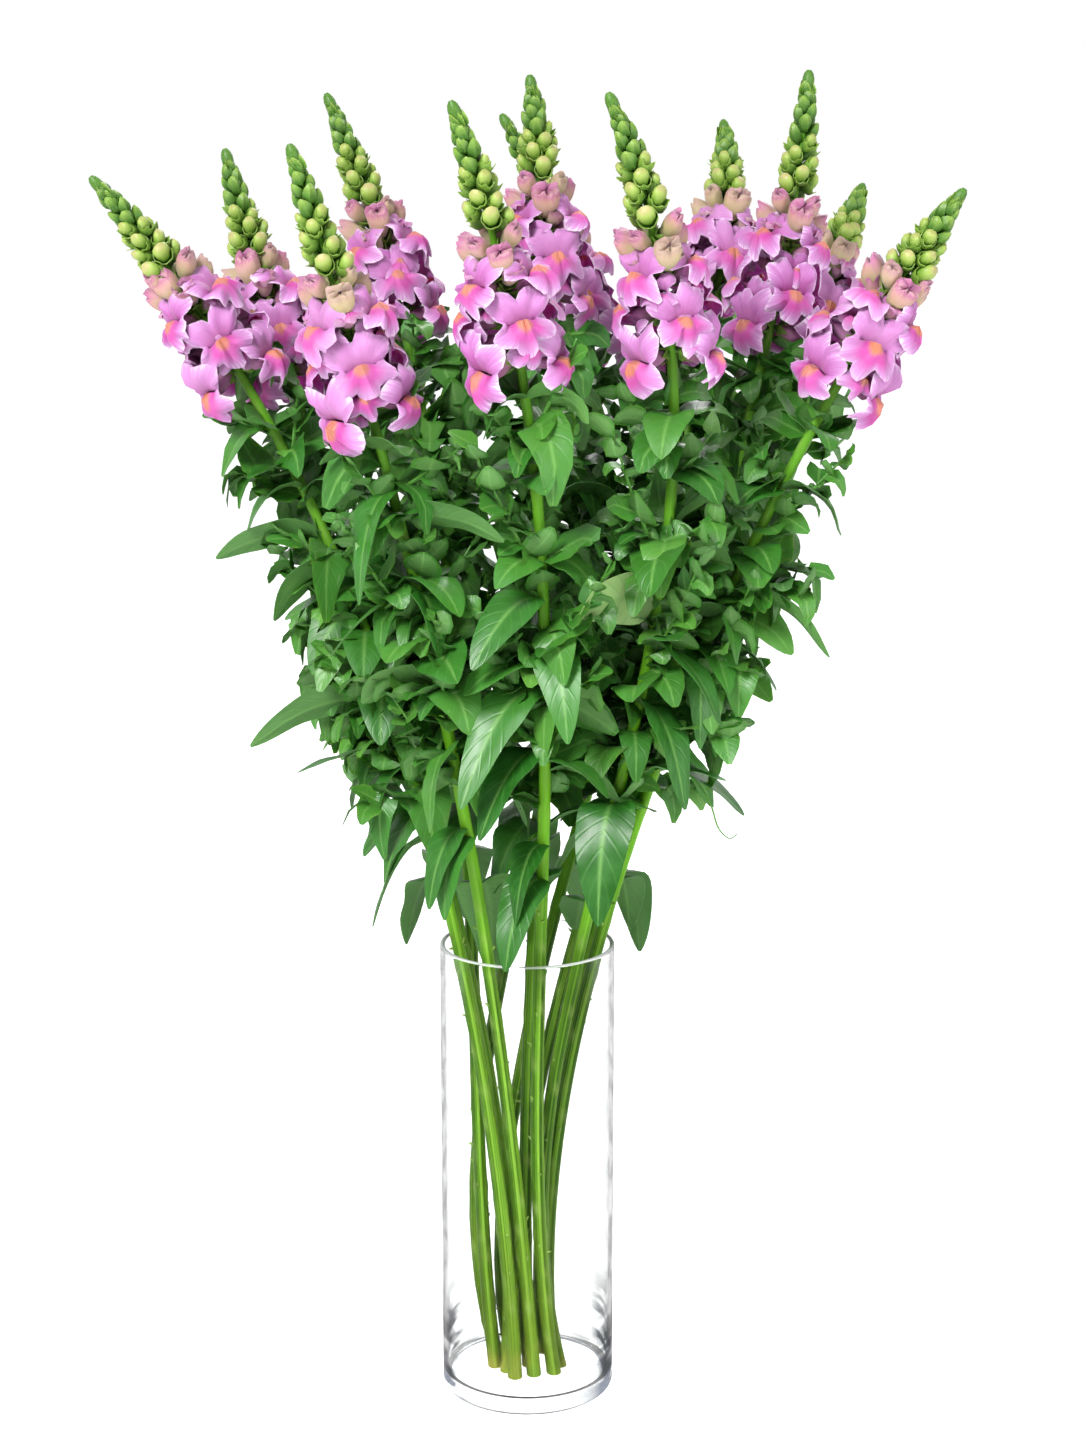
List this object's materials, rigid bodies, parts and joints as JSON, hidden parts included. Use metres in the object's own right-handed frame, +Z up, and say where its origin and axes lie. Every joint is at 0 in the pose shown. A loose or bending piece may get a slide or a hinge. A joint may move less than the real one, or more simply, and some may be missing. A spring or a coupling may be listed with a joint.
{
  "type": "cut snapdragon stems in a glass vase",
  "caption": "Tall pink snapdragon stems with leafy stalks, open florets and green bud tips, standing in a clear glass cylinder vase.",
  "frame": {"origin": "centre of the vase's foot, on the surface it stands on", "axes": "+Z up along the vase, -Y towards the viewer of the arrangement's front, +X to that viewer's right"},
  "size_m": [0.5139, 0.3601, 0.84],
  "materials": {
    "glass": "polished",
    "foliage": "satin",
    "petal": "matte",
    "green_bud": "satin"
  },
  "bodies": {
    "root": {"vase": "glass", "stem_01": "foliage", "florets_01": "petal", "buds_01": "green_bud", "stem_02": "foliage", "florets_02": "petal", "buds_02": "green_bud", "stem_03": "foliage", "florets_03": "petal", "buds_03": "green_bud", "stem_04": "foliage", "florets_04": "petal", "buds_04": "green_bud", "stem_05": "foliage", "florets_05": "petal", "buds_05": "green_bud", "stem_06": "foliage", "florets_06": "petal", "buds_06": "green_bud", "stem_07": "foliage", "florets_07": "petal", "buds_07": "green_bud", "stem_08": "foliage", "florets_08": "petal", "buds_08": "green_bud", "stem_09": "foliage", "florets_09": "petal", "buds_09": "green_bud", "stem_10": "foliage", "florets_10": "petal", "buds_10": "green_bud", "stem_11": "foliage", "florets_11": "petal", "buds_11": "green_bud", "stem_12": "foliage", "florets_12": "petal", "buds_12": "green_bud"}
  },
  "joints": []
}
